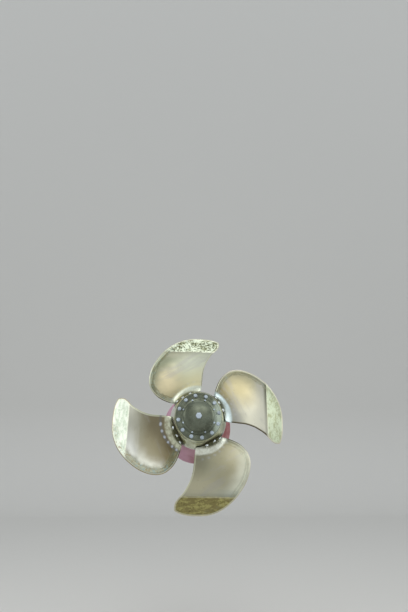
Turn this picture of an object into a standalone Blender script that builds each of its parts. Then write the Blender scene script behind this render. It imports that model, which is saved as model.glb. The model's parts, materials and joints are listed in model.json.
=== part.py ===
"""Controllable-pitch ship propeller with its hub, tail shaft, shaft seal, rope guard and stern boss.

Metres, +Z up. The shaft runs along Y, with astern at -Y. The origin lies on the flat forward face of
the stern boss, straight below the shaft. The propeller is left-handed: seen from astern it turns
counterclockwise to drive ahead. Its blades are drawn near zero pitch.
"""

import math

import bmesh
import bpy
from mathutils import Euler, Vector

# Spaces between pieces
CONTACT_GAP = 0.0003
BEARING_CLEARANCE = 0.002
SEAL_CLEARANCE = 0.003
PORT_CLEARANCE = 0.003

# Stern boss, the end of the hull that carries the shaft
BOSS_LENGTH = 0.64
BOSS_SHOULDER = 0.014
BOSS_FLARE = 0.220
BOSS_FLARE_POWER = 1.7
BOSS_EDGE = 0.018
BOSS_BORE_RADIUS = 0.235
MOUNT_DEPTH_BELOW_SHAFT = 0.420
TUBE_SETBACK = 0.010
TUBE_WALL = 0.030
BEARING_LENGTH = 0.560

# Tail shaft and its sleeve
SHAFT_RADIUS = 0.150
SHAFT_END_CHAMFER = 0.008
SHAFT_FLANGE_RADIUS = 0.305
SHAFT_FLANGE_THICKNESS = 0.090
SHAFT_FLANGE_FILLET = 0.030
LINER_WALL = 0.040
LINER_LENGTH = 0.240

# Stern seal, three rings in a stack on the boss
SEAL_RING_RADII = (0.300, 0.275, 0.250)
SEAL_RING_LENGTHS = (0.050, 0.060, 0.030)
SEAL_CHAMFER = 0.006

# Rope guard, two half shells and two joint straps
GUARD_RADIUS = 0.366
GUARD_THICKNESS = 0.012
GUARD_LENGTH = 0.345
GUARD_TO_HUB_GAP = 0.015
STRAP_THICKNESS = 0.010
STRAP_LENGTH = 0.260
STRAP_SPREAD = math.radians(9.0)

# Hub
HUB_BALL_RADIUS = 0.420
HUB_END_RADIUS = 0.341
HUB_FORWARD_LENGTH = 0.300
HUB_AFT_LENGTH = 0.300
HUB_CHAMFER = 0.010
CYLINDER_LENGTH = 0.130
COVER_LENGTH = 0.080
COVER_TAPER = 0.015
COVER_CHAMFER = 0.012
CAP_RADIUS = 0.245
CAP_RIM = 0.020
CAP_HEIGHT = 0.070
PLUG_RADIUS = 0.045
PLUG_HEIGHT = 0.016
PLUG_SIDES = 6

# Blade seats: each blade stands on a round palm, bolted down in a port of the hub
PALM_RADIUS = 0.220
PALM_RIM_THICKNESS = 0.083
PALM_BOLTS_EACH_SIDE = 3
PALM_BOLT_CIRCLE = 0.170
PALM_BOLT_SPREAD = math.radians(43.0)
BOLT_POCKET_RADIUS = 0.031
BOLT_SEAT_DEPTH = 0.024

# Blades
BLADE_COUNT = 4
FIRST_SPINDLE_ANGLE = math.radians(208.0)
TIP_RADIUS = 1.300
PITCH_RATIO = 0.90
PITCH_SETTING = math.radians(-20.0)
FACE_CAMBER = 0.012
ROOT_THICKNESS = 0.125
EDGE_THICKNESS = 0.009
NOSE_WIDTH = 0.065
NOSE_SETBACK = 0.012
SECTION_FULLNESS = 0.75
FACE_SETBACK = 0.055
ROOT_SINK = 0.017
ROOT_OVERHANG_GAP = 0.012
ROOT_FILLET = 0.105
FILLET_AT_EDGES = 0.45
FILLET_FULLNESS = 0.3
PALM_MARGIN = 0.008
TIP_SWEEP = math.radians(29.0)
TIP_FOLD_WIDTH = 0.266
TIP_BEND = math.radians(24.0)

# Blade stations: place along the span from the root at 0 to the tip at 1, leading and trailing edge in
# degrees ahead of the spindle, and greatest thickness as a share of the root thickness
BLADE_STATIONS = (
    (0.00, 26.0, -31.0, 1.00),
    (0.04, 28.5, -33.1, 0.91),
    (0.16, 32.3, -33.7, 0.75),
    (0.33, 33.3, -33.7, 0.59),
    (0.48, 30.6, -35.5, 0.45),
    (0.57, 27.3, -37.3, 0.39),
    (0.67, 20.7, -39.5, 0.32),
    (0.77, 11.3, -42.4, 0.25),
    (0.84, 3.0, -43.7, 0.22),
    (0.90, -4.0, -43.8, 0.18),
    (0.94, -8.9, -43.4, 0.15),
    (0.97, -13.8, -42.7, 0.13),
    (0.99, -18.1, -39.7, 0.10),
    (1.00, -22.1, -35.6, 0.09),
)

# Mesh fineness
ROUND_STEPS = 40
PALM_STEPS = 32
STRAP_STEPS = 2
BALL_STEPS = 12
FLARE_STEPS = 7
DOME_STEPS = 4
CHORD_STEPS = 8
SPAN_STEPS = 13
POCKET_STEPS = 10
FILLET_STEPS = 4
SHARP_EDGE = math.radians(30.0)
WELD_DISTANCE = 1e-6
SNAP_DISTANCE = 1e-5
TIP_CROWDING = 1.9
CUTTER_REACH = 1.2

# Sizes that follow from the ones above
BOSS_AFT_RADIUS = GUARD_RADIUS + BOSS_SHOULDER
COVER_AFT_RADIUS = HUB_END_RADIUS - COVER_TAPER
PALM_RIM_HEIGHT = math.sqrt(HUB_BALL_RADIUS**2 - PALM_RADIUS**2)
PORT_FLOOR_DISTANCE = PALM_RIM_HEIGHT - PALM_RIM_THICKNESS
BOLT_SEAT_DISTANCE = math.sqrt(HUB_BALL_RADIUS**2 - PALM_BOLT_CIRCLE**2) - BOLT_SEAT_DEPTH
ROOT_RADIUS = HUB_BALL_RADIUS - ROOT_SINK
CREASE_DISTANCE = TIP_RADIUS - TIP_FOLD_WIDTH

# Places along the shaft, all measured from the forward face of the boss
BOSS_AFT_Y = -BOSS_LENGTH
GUARD_AFT_Y = BOSS_AFT_Y - GUARD_LENGTH
HUB_FORWARD_Y = GUARD_AFT_Y - GUARD_TO_HUB_GAP
BLADE_Y = HUB_FORWARD_Y - HUB_FORWARD_LENGTH
HUB_AFT_Y = BLADE_Y - HUB_AFT_LENGTH
CYLINDER_AFT_Y = HUB_AFT_Y - CYLINDER_LENGTH
COVER_AFT_Y = CYLINDER_AFT_Y - COVER_LENGTH
FLANGE_FORWARD_Y = HUB_FORWARD_Y + SHAFT_FLANGE_THICKNESS
SHAFT_Z = MOUNT_DEPTH_BELOW_SHAFT

# Colour, metallic value and roughness of each material
FINISHES = {
    "bronze": ((0.62, 0.53, 0.33), 1.0, 0.28),
    "hub_bronze": ((0.36, 0.36, 0.25), 1.0, 0.36),
    "hull_paint": ((0.36, 0.11, 0.10), 0.0, 0.55),
    "shaft_steel": ((0.55, 0.55, 0.56), 1.0, 0.25),
    "seal_bronze": ((0.45, 0.38, 0.24), 1.0, 0.35),
    "bearing_metal": ((0.48, 0.47, 0.44), 1.0, 0.40),
    "tube_iron": ((0.20, 0.20, 0.20), 1.0, 0.60),
}


def clear_scene():
    for item in list(bpy.data.objects):
        bpy.data.objects.remove(item, do_unlink=True)


def material(name, finish):
    colour, metallic, roughness = FINISHES[finish]
    made = bpy.data.materials.new(name + "_material")
    made.use_nodes = True
    shader = made.node_tree.nodes["Principled BSDF"]
    shader.inputs["Base Color"].default_value = (*colour, 1.0)
    shader.inputs["Metallic"].default_value = metallic
    shader.inputs["Roughness"].default_value = roughness
    return made


def frame_empty(name, location, turn, parent=None):
    """An empty that holds an axis: its children are drawn around its own Z."""
    made = bpy.data.objects.new(name, None)
    made.location = location
    made.rotation_euler = Euler(turn)
    made.parent = parent
    bpy.context.collection.objects.link(made)
    return made


def add_object(name, mesh, finish, parent):
    made = bpy.data.objects.new(name, mesh)
    made.parent = parent
    bpy.context.collection.objects.link(made)
    if finish:
        mesh.materials.clear()
        mesh.materials.append(material(name, finish))
    mesh.shade_smooth()
    mesh.set_sharp_from_angle(angle=SHARP_EDGE)
    return made


def hide_helper(item):
    item.hide_render = True
    item.display_type = "WIRE"
    return item


def finish_mesh(shape, name):
    """Weld coincident points, turn every face outward and hand back a mesh."""
    bmesh.ops.remove_doubles(shape, verts=shape.verts, dist=WELD_DISTANCE)
    bmesh.ops.recalc_face_normals(shape, faces=shape.faces)
    mesh = bpy.data.meshes.new(name)
    shape.to_mesh(mesh)
    shape.free()
    return mesh


def revolved(name, profile, steps=ROUND_STEPS, start=0.0, sweep=math.tau):
    """Turn a closed outline of (radius, z) points about Z, in full or over part of a turn."""
    shape = bmesh.new()
    whole = sweep == math.tau
    rows = []
    for step in range(steps if whole else steps + 1):
        angle = start + sweep * step / steps
        across, up = math.cos(angle), math.sin(angle)
        rows.append([shape.verts.new((r * across, r * up, z)) for r, z in profile])
    pairs = list(zip(rows, rows[1:]))
    if whole:
        pairs.append((rows[-1], rows[0]))
    count = len(profile)
    for here, there in pairs:
        for i in range(count):
            j = (i + 1) % count
            if profile[i][0] == 0.0 and profile[j][0] == 0.0:
                continue
            shape.faces.new((here[i], here[j], there[j], there[i]))
    if not whole:
        shape.faces.new(rows[0])
        shape.faces.new(rows[-1])
    return finish_mesh(shape, name)


def tube_profile(inner, outer, low, high, chamfer=0.0):
    """Wall of a tube from z = low to z = high, with its outer edges chamfered."""
    if not chamfer:
        return [(inner, low), (outer, low), (outer, high), (inner, high)]
    return [
        (inner, low),
        (outer - chamfer, low),
        (outer, low + chamfer),
        (outer, high - chamfer),
        (outer - chamfer, high),
        (inner, high),
    ]


def boss_profile():
    """The boss widens forward in a smooth flare from the rope guard to its flat face."""
    flare = []
    for step in range(FLARE_STEPS + 1):
        share = step / FLARE_STEPS
        widening = BOSS_FLARE * share**BOSS_FLARE_POWER
        place = BOSS_AFT_Y + BOSS_EDGE + (BOSS_LENGTH - BOSS_EDGE) * share
        flare.append((BOSS_AFT_RADIUS + widening, place))
    start = [(BOSS_BORE_RADIUS, BOSS_AFT_Y), (BOSS_AFT_RADIUS - BOSS_EDGE, BOSS_AFT_Y)]
    return start + flare + [(BOSS_BORE_RADIUS, 0.0)]


def make_boss(line):
    add_object("stern_boss", revolved("stern_boss", boss_profile()), "hull_paint", line)


def make_stern_tube(line):
    outer = BOSS_BORE_RADIUS - CONTACT_GAP
    inner = outer - TUBE_WALL
    low = BOSS_AFT_Y + TUBE_SETBACK
    profile = tube_profile(inner, outer, low, -TUBE_SETBACK)
    add_object("stern_tube", revolved("stern_tube", profile), "tube_iron", line)
    bush_outer = inner - CONTACT_GAP
    bush_inner = SHAFT_RADIUS + BEARING_CLEARANCE
    profile = tube_profile(bush_inner, bush_outer, low, low + BEARING_LENGTH)
    add_object("stern_tube_bearing", revolved("stern_tube_bearing", profile), "bearing_metal", line)


def make_seal(line):
    names = ("seal_flange_ring", "seal_middle_ring", "seal_cover_ring")
    bore = SHAFT_RADIUS + CONTACT_GAP + LINER_WALL + SEAL_CLEARANCE
    high = BOSS_AFT_Y - CONTACT_GAP
    for name, radius, length in zip(names, SEAL_RING_RADII, SEAL_RING_LENGTHS):
        profile = tube_profile(bore, radius, high - length, high, SEAL_CHAMFER)
        add_object(name, revolved(name, profile), "seal_bronze", line)
        high -= length + CONTACT_GAP


def make_rope_guard(line):
    inner = GUARD_RADIUS - GUARD_THICKNESS
    profile = tube_profile(inner, GUARD_RADIUS, GUARD_AFT_Y, BOSS_AFT_Y - CONTACT_GAP)
    split = CONTACT_GAP / GUARD_RADIUS
    half = math.pi - split
    for name, start in (("rope_guard_lower", 0.0), ("rope_guard_upper", math.pi)):
        mesh = revolved(name, profile, ROUND_STEPS // 2, start + split / 2, half)
        add_object(name, mesh, "hull_paint", line)
    low = (GUARD_AFT_Y + BOSS_AFT_Y - STRAP_LENGTH) / 2
    under = GUARD_RADIUS + CONTACT_GAP
    strap = tube_profile(under, under + STRAP_THICKNESS, low, low + STRAP_LENGTH)
    for name, middle in (("guard_strap_right", 0.0), ("guard_strap_left", math.pi)):
        mesh = revolved(name, strap, STRAP_STEPS, middle - STRAP_SPREAD / 2, STRAP_SPREAD)
        add_object(name, mesh, "hull_paint", line)


def make_tail_shaft(line):
    high = -TUBE_SETBACK
    low = HUB_FORWARD_Y + CONTACT_GAP
    profile = [
        (0.0, low),
        (SHAFT_FLANGE_RADIUS, low),
        (SHAFT_FLANGE_RADIUS, FLANGE_FORWARD_Y),
        (SHAFT_RADIUS + LINER_WALL, FLANGE_FORWARD_Y),
        (SHAFT_RADIUS, FLANGE_FORWARD_Y + SHAFT_FLANGE_FILLET),
        (SHAFT_RADIUS, high - SHAFT_END_CHAMFER),
        (SHAFT_RADIUS - SHAFT_END_CHAMFER, high),
        (0.0, high),
    ]
    add_object("tail_shaft", revolved("tail_shaft", profile), "shaft_steel", line)
    inner = SHAFT_RADIUS + CONTACT_GAP
    low = FLANGE_FORWARD_Y + SHAFT_FLANGE_FILLET + CONTACT_GAP
    profile = tube_profile(inner, inner + LINER_WALL, low, low + LINER_LENGTH)
    add_object("shaft_liner", revolved("shaft_liner", profile), "shaft_steel", line)


def hub_body_profile():
    """A ball around the crossing of shaft and spindles, between two turned ends."""
    side = math.asin(HUB_END_RADIUS / HUB_BALL_RADIUS)
    forward = BLADE_Y + HUB_FORWARD_LENGTH
    points = [(0.0, HUB_AFT_Y), (HUB_END_RADIUS - HUB_CHAMFER, HUB_AFT_Y)]
    points.append((HUB_END_RADIUS, HUB_AFT_Y + HUB_CHAMFER))
    for step in range(BALL_STEPS + 1):
        angle = math.pi - side - (math.pi - 2 * side) * step / BALL_STEPS
        points.append((HUB_BALL_RADIUS * math.sin(angle), BLADE_Y + HUB_BALL_RADIUS * math.cos(angle)))
    points.append((HUB_END_RADIUS, forward - HUB_CHAMFER))
    points.append((HUB_END_RADIUS - HUB_CHAMFER, forward))
    points.append((0.0, forward))
    return points


def make_hub_body(line, spindles):
    body = add_object("hub_body", revolved("hub_body", hub_body_profile()), "hub_bronze", line)
    floor = PORT_FLOOR_DISTANCE - CONTACT_GAP
    radius = PALM_RADIUS + PORT_CLEARANCE
    top = HUB_BALL_RADIUS * CUTTER_REACH
    profile = [(0.0, floor), (radius, floor), (radius, top), (0.0, top)]
    for number, spindle in enumerate(spindles, 1):
        name = f"port_cutter_{number}"
        cutter = hide_helper(add_object(name, revolved(name, profile, PALM_STEPS), None, spindle))
        cut = body.modifiers.new(f"port_{number}", "BOOLEAN")
        cut.operation = "DIFFERENCE"
        cut.object = cutter


def make_hub_ends(line):
    high = HUB_AFT_Y - CONTACT_GAP
    profile = [
        (0.0, CYLINDER_AFT_Y),
        (HUB_END_RADIUS - HUB_CHAMFER, CYLINDER_AFT_Y),
        (HUB_END_RADIUS, CYLINDER_AFT_Y + HUB_CHAMFER),
        (HUB_END_RADIUS, high - HUB_CHAMFER),
        (HUB_END_RADIUS - HUB_CHAMFER, high),
        (0.0, high),
    ]
    add_object("hub_cylinder", revolved("hub_cylinder", profile), "hub_bronze", line)
    high = CYLINDER_AFT_Y - CONTACT_GAP
    profile = [
        (0.0, COVER_AFT_Y),
        (COVER_AFT_RADIUS - COVER_CHAMFER, COVER_AFT_Y),
        (COVER_AFT_RADIUS, COVER_AFT_Y + COVER_CHAMFER),
        (HUB_END_RADIUS, high - HUB_CHAMFER),
        (HUB_END_RADIUS - HUB_CHAMFER, high),
        (0.0, high),
    ]
    add_object("hub_end_cover", revolved("hub_end_cover", profile), "hub_bronze", line)


def make_cap(line):
    high = COVER_AFT_Y - CONTACT_GAP
    rim = high - CAP_RIM
    profile = [(0.0, high), (CAP_RADIUS, high)]
    for step in range(DOME_STEPS):
        angle = math.pi / 2 * step / DOME_STEPS
        profile.append((CAP_RADIUS * math.cos(angle), rim - (CAP_HEIGHT - CAP_RIM) * math.sin(angle)))
    crown = profile[-1][1]
    profile.append((0.0, crown))
    add_object("hub_cap", revolved("hub_cap", profile), "hub_bronze", line)
    low = crown - CONTACT_GAP
    plug = [(0.0, low - PLUG_HEIGHT), (PLUG_RADIUS, low - PLUG_HEIGHT), (PLUG_RADIUS, low), (0.0, low)]
    add_object("cap_plug", revolved("cap_plug", plug, PLUG_SIDES), "hub_bronze", line)


def station_value(column, place):
    """Smooth curve through one column of the blade stations, with slopes from the neighbours."""
    places = [row[0] for row in BLADE_STATIONS]
    values = [row[column] for row in BLADE_STATIONS]
    last = len(places) - 1
    i = 0
    while i < last - 1 and place > places[i + 1]:
        i += 1

    def slope(k):
        before, after = max(k - 1, 0), min(k + 1, last)
        return (values[after] - values[before]) / (places[after] - places[before])

    span = places[i + 1] - places[i]
    t = min(max((place - places[i]) / span, 0.0), 1.0)
    start = (1 + 2 * t) * (1 - t) ** 2 * values[i] + t * (1 - t) ** 2 * span * slope(i)
    end = t * t * (3 - 2 * t) * values[i + 1] + t * t * (t - 1) * span * slope(i + 1)
    return start + end


def section_pitch(radius):
    """Pitch angle of the section at this distance from the shaft, as the blade is set."""
    return math.atan(PITCH_RATIO * TIP_RADIUS / (math.pi * radius)) + PITCH_SETTING


def section_point(radius, chord, forward_side, spread):
    """A point on the blade: chord runs from 0 at the trailing edge to 1 at the leading edge, and spread
    from 0 on the plain blade to 1 where the root fillet meets the palm. The plain blade's sections lie on
    cylinders around the shaft, and the fillet's on balls around its crossing with the spindle."""
    place = (radius - ROOT_RADIUS) / (TIP_RADIUS - ROOT_RADIUS)
    leading = math.radians(station_value(1, place))
    trailing = math.radians(station_value(2, place))
    angle = trailing + (leading - trailing) * chord
    pitch = section_pitch(radius)
    width = radius * (leading - trailing) / math.cos(pitch)
    arch = 4 * chord * (1 - chord)
    depth = radius * angle * math.tan(pitch) + FACE_CAMBER * width * arch - FACE_SETBACK
    nose = max(0.0, 1 - width * (1 - chord) / NOSE_WIDTH)
    depth += NOSE_SETBACK * nose * nose
    reach = ROOT_FILLET * (FILLET_AT_EDGES + (1 - FILLET_AT_EDGES) * arch**FILLET_FULLNESS)
    if forward_side:
        fullness = ROOT_THICKNESS * station_value(3, place) - EDGE_THICKNESS
        depth += (EDGE_THICKNESS + fullness * arch**SECTION_FULLNESS) / math.cos(pitch) + spread * reach
    else:
        depth -= spread * reach
    if spread:
        radius = math.sqrt(radius * radius - depth * depth)
    return Vector((-radius * math.sin(angle), depth, radius * math.cos(angle)))


def inside_palm(point):
    """Draw a point in to the palm's circle along its ball, so that the blade's foot stays on its palm."""
    limit = PALM_RADIUS - PALM_MARGIN
    shrink = min(1.0, limit / math.hypot(point.x, point.y))
    across, along = point.x * shrink, point.y * shrink
    return Vector((across, along, math.sqrt(point.length_squared - across * across - along * along)))


def blade_levels():
    """Distance from the shaft and fillet spread of each section, from the root to the round tip."""
    yield ROOT_RADIUS, 1.0
    yield HUB_BALL_RADIUS, 1.0
    for step in range(FILLET_STEPS):
        share = step / FILLET_STEPS
        height = ROOT_OVERHANG_GAP + (ROOT_FILLET - ROOT_OVERHANG_GAP) * share
        yield HUB_BALL_RADIUS + height, 1 - math.sqrt(1 - (1 - height / ROOT_FILLET) ** 2)
    start = HUB_BALL_RADIUS + ROOT_FILLET
    for step in range(SPAN_STEPS + 1):
        share = step / SPAN_STEPS
        yield start + (TIP_RADIUS - start) * (1 - (1 - share) ** TIP_CROWDING), 0.0


def bend_tip(shape):
    """Fold the tip forward about a straight line square to the swept tip."""
    outward = Vector((math.sin(TIP_SWEEP), 0.0, math.cos(TIP_SWEEP)))
    everything = shape.verts[:] + shape.edges[:] + shape.faces[:]
    crease = outward * CREASE_DISTANCE
    bmesh.ops.bisect_plane(shape, geom=everything, plane_co=crease, plane_no=outward, dist=SNAP_DISTANCE)
    for vert in shape.verts:
        beyond = vert.co.dot(outward) - CREASE_DISTANCE
        if beyond > 0.0:
            vert.co.y += beyond * math.tan(TIP_BEND)


def blade_mesh():
    """Closed loft of the blade: two faces, two edges, a tip, and a root end inside the palm."""
    shape = bmesh.new()
    chords = [(1 - math.cos(math.pi * step / CHORD_STEPS)) / 2 for step in range(CHORD_STEPS + 1)]
    rows = []
    for radius, spread in blade_levels():
        points = [section_point(radius, chord, False, spread) for chord in chords]
        points += [section_point(radius, chord, True, spread) for chord in reversed(chords)]
        if radius <= HUB_BALL_RADIUS:
            points = [inside_palm(point) for point in points]
        rows.append([shape.verts.new(point) for point in points])
    count = len(rows[0])
    for here, there in zip(rows, rows[1:]):
        for i in range(count):
            j = (i + 1) % count
            shape.faces.new((here[i], here[j], there[j], there[i]))
    for row in (rows[0], rows[-1]):
        for i in range(CHORD_STEPS):
            shape.faces.new((row[i], row[i + 1], row[count - 2 - i], row[count - 1 - i]))
    bmesh.ops.triangulate(shape, faces=shape.faces)
    bend_tip(shape)
    bmesh.ops.triangulate(shape, faces=shape.faces)
    return finish_mesh(shape, "blade_loft")


def palm_mesh():
    """Round foot of a blade, crowned to the hub's ball."""
    rim = math.asin(PALM_RADIUS / HUB_BALL_RADIUS)
    profile = [(0.0, PORT_FLOOR_DISTANCE), (PALM_RADIUS, PORT_FLOOR_DISTANCE)]
    for step in range(DOME_STEPS):
        angle = rim * (1 - step / DOME_STEPS)
        profile.append((HUB_BALL_RADIUS * math.sin(angle), HUB_BALL_RADIUS * math.cos(angle)))
    profile.append((0.0, HUB_BALL_RADIUS))
    return revolved("palm", profile, PALM_STEPS)


def pocket_places():
    """Bolt centres around the spindle, in two groups beside the root section."""
    root_pitch = section_pitch(HUB_BALL_RADIUS)
    for side in (1, -1):
        for number in range(PALM_BOLTS_EACH_SIDE):
            offset = (number - (PALM_BOLTS_EACH_SIDE - 1) / 2) * PALM_BOLT_SPREAD
            angle = side * math.pi / 2 - root_pitch + offset
            yield PALM_BOLT_CIRCLE * math.cos(angle), PALM_BOLT_CIRCLE * math.sin(angle)


def pockets_mesh():
    """All the bolt pockets of one palm, as separate closed cylinders in one cutter."""
    shape = bmesh.new()
    top = HUB_BALL_RADIUS + BOLT_POCKET_RADIUS
    for x, y in pocket_places():
        made = bmesh.ops.create_cone(
            shape, cap_ends=True, segments=POCKET_STEPS, radius1=BOLT_POCKET_RADIUS,
            radius2=BOLT_POCKET_RADIUS, depth=top - BOLT_SEAT_DISTANCE,
        )
        bmesh.ops.translate(shape, verts=made["verts"], vec=(x, y, (top + BOLT_SEAT_DISTANCE) / 2))
    return finish_mesh(shape, "pockets")


def make_blades(spindles):
    """Cast each blade and its palm in one, then sink the bolt pockets."""
    loft = blade_mesh()
    palm = palm_mesh()
    pockets = pockets_mesh()
    for number, spindle in enumerate(spindles, 1):
        blade = add_object(f"blade_{number}", loft.copy(), "bronze", spindle)
        foot = hide_helper(add_object(f"palm_{number}", palm, None, spindle))
        holes = hide_helper(add_object(f"pocket_cutter_{number}", pockets, None, spindle))
        for operation, other in (("UNION", foot), ("DIFFERENCE", holes)):
            joined = blade.modifiers.new(operation.lower(), "BOOLEAN")
            joined.operation = operation
            joined.object = other


def make_spindles(line):
    """One empty for each blade, at the crossing of shaft and spindle, with Z out along the spindle."""
    centre = frame_empty("propeller_centre", (0.0, BLADE_Y, SHAFT_Z), (0.0, 0.0, 0.0))
    spindles = []
    for number in range(BLADE_COUNT):
        angle = FIRST_SPINDLE_ANGLE + math.tau * number / BLADE_COUNT
        turn = (0.0, math.pi / 2 - angle, 0.0)
        spindles.append(frame_empty(f"spindle_{number + 1}", (0.0, 0.0, 0.0), turn, centre))
    return spindles


def main():
    clear_scene()
    line = frame_empty("shaft_line", (0.0, 0.0, SHAFT_Z), (-math.pi / 2, 0.0, 0.0))
    spindles = make_spindles(line)
    make_boss(line)
    make_stern_tube(line)
    make_seal(line)
    make_rope_guard(line)
    make_tail_shaft(line)
    make_hub_body(line, spindles)
    make_hub_ends(line)
    make_cap(line)
    make_blades(spindles)


main()
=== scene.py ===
"""Looks of the controllable-pitch propeller: ground bronze blades on their palms, turned hub,
tail shaft, seal, rope guard and painted stern boss."""

import json
from math import asin, atan, cos, pi, radians, sin, sqrt, tan, tau

import bmesh
import bpy
import numpy as np
from mathutils import Matrix, Vector


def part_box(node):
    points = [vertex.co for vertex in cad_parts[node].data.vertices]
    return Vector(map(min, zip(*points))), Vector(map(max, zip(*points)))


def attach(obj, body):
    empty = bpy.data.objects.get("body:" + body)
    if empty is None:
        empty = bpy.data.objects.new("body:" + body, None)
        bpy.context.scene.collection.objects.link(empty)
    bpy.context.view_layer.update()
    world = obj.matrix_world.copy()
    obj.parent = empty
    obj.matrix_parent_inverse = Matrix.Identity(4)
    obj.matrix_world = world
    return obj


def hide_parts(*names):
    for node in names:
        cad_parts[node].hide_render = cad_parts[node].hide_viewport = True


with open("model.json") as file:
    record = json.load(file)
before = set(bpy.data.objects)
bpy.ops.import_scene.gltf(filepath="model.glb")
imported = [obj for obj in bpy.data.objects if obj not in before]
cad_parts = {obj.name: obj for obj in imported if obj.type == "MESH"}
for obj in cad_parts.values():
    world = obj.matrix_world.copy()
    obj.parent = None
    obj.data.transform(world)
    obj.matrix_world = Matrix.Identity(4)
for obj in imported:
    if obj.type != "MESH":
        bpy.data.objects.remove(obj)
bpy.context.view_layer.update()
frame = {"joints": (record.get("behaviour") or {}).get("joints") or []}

# Axes, read from the frame's joints
JOINTS = {joint["name"]: joint for joint in frame["joints"]}
CENTRE = Vector(JOINTS["propeller_spin"]["pos_m"])
SHAFT_Z = CENTRE.z
BLADE_Y = CENTRE.y
BLADES = (1, 2, 3, 4)

# Blade form, in metres and degrees
TIP_RADIUS = 1.300
ROOT_RADIUS = 0.403
PITCH_RATIO = 0.90
PITCH_SETTING = radians(-20.0)
FACE_CAMBER = 0.012
FACE_SETBACK = 0.055
ROOT_THICKNESS = 0.125
EDGE_THICKNESS = 0.009
NOSE_WIDTH = 0.065
NOSE_SETBACK = 0.012
SECTION_FULLNESS = 0.75
TIP_SWEEP = radians(29.0)
CREASE_DISTANCE = 1.034
CREASE_SOFTNESS = 0.005
TIP_BEND = radians(24.0)
TIP_CROWDING = 1.9
ROOT_FILLET = 0.105
FILLET_AT_EDGES = 0.45
FILLET_FULLNESS = 0.3
FILLET_START = radians(8.0)
FOOT_SINK = 0.002
CORNER_SHARE = 0.8
ROOT_OVERHANG_GAP = 0.012

# Blade stations: place along the span from the root at 0 to the tip at 1, leading and trailing edge in
# degrees ahead of the spindle, and greatest thickness as a share of the root thickness
BLADE_STATIONS = np.array((
    (0.00, 26.0, -31.0, 1.00),
    (0.04, 28.5, -33.1, 0.91),
    (0.16, 32.3, -33.7, 0.75),
    (0.33, 33.3, -33.7, 0.59),
    (0.48, 30.6, -35.5, 0.45),
    (0.57, 27.3, -37.3, 0.39),
    (0.67, 20.7, -39.5, 0.32),
    (0.77, 11.3, -42.4, 0.25),
    (0.84, 3.0, -43.7, 0.22),
    (0.90, -4.0, -43.8, 0.18),
    (0.94, -8.9, -43.4, 0.15),
    (0.97, -13.8, -42.7, 0.13),
    (0.99, -18.1, -39.7, 0.10),
    (1.00, -22.1, -35.6, 0.09),
))

# Palms, ports and their bolts. A bolt is given by its size across the flats, the height of its head and
# the thickness of its washer.
BALL_RADIUS = 0.420
PALM_RADIUS = 0.220
PALM_MARGIN = 0.008
PALM_EDGE = 0.003
PALM_RIM_HEIGHT = sqrt(BALL_RADIUS**2 - PALM_RADIUS**2)
PALM_RIM_THICKNESS = 0.083
PORT_FLOOR_DISTANCE = PALM_RIM_HEIGHT - PALM_RIM_THICKNESS
PORT_CLEARANCE = 0.003
PORT_LIP = 0.004
PORT_CUT_TOP = 0.500
CONTACT_GAP = 0.0003
PALM_BOLTS_EACH_SIDE = 3
PALM_BOLT_CIRCLE = 0.170
PALM_BOLT_SPREAD = radians(43.0)
PALM_BOLT = (0.042, 0.026, 0.004)
BOLT_POCKET_RADIUS = 0.031
BOLT_SEAT_DEPTH = 0.024
BOLT_SEAT_DISTANCE = sqrt(BALL_RADIUS**2 - PALM_BOLT_CIRCLE**2) - BOLT_SEAT_DEPTH
PORT_SEAL_DEPTH = 0.008
PORT_SEAL_THICKNESS = 0.012

# Rings of bolts around the shaft: how many, the angle of the first in degrees, and the bolt's three sizes
BOLT_RINGS = {
    "cover_bolts": (12, 20.5, 0.040, 0.024, 0.004),
    "cap_bolts": (8, 22.5, 0.019, 0.012, 0.002),
    "flange_bolts": (12, 0.0, 0.036, 0.022, 0.0),
    "seal_bolts": (12, 0.0, 0.017, 0.011, 0.0),
}

# Form of every bolt: washer radius and head chamfer as shares of the corner radius, the chamfer's height
# as one of its width, the washer's lip as one of its thickness, and the turn from bolt to bolt
HEX_SIDES = 6
WASHER_SIZE = 1.14
HEAD_CHAMFER = 0.12
CHAMFER_HEIGHT = 0.6
WASHER_LIP = 0.2
BOLT_TURN = 0.7

# Hub, shaft, seal, guard and boss
HUB_CHAMFER = 0.010
BARREL_GROOVE = 0.004
COVER_TAPER = 0.015
COVER_CHAMFER = 0.012
COVER_RECESS = 0.003
COVER_INNER_LAND = 0.006
COVER_OUTER_LAND = 0.015
COVER_BOLT_CIRCLE = 0.2845
CAP_RIM = 0.020
CAP_LEDGE = 0.030
CAP_EDGE = 0.004
PLUG_CROWN = 0.004
SHAFT_RADIUS = 0.150
SHAFT_FLANGE_THICKNESS = 0.090
SHAFT_FILLET = 0.029
SHAFT_END_CHAMFER = 0.008
SHAFT_CENTRE_HOLE = 0.030
FLANGE_BOLT_CIRCLE = 0.262
SEAL_BORE = 0.1933
SEAL_CHAMFER = 0.006
TUBE_WALL = 0.030
BEARING_BORE = 0.152
GUARD_THICKNESS = 0.012
STRAP_SPREAD = radians(9.0)
WELD_THICKNESS = 0.006
WELD_PASSES = 130
WELD_RIPPLE = 0.12
WELD_WANDER = 0.08
WELD_WANDER_TURN = 0.37
BOSS_EDGE = 0.018
BOSS_SHOULDER = 0.014
BOSS_BORE_RADIUS = 0.235
BOSS_FLARE_POWER = 1.7
BOSS_SEAMS = (0.30, 0.72)
WELD_SINK = 0.003
SOFT_EDGE = 0.0015

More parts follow.
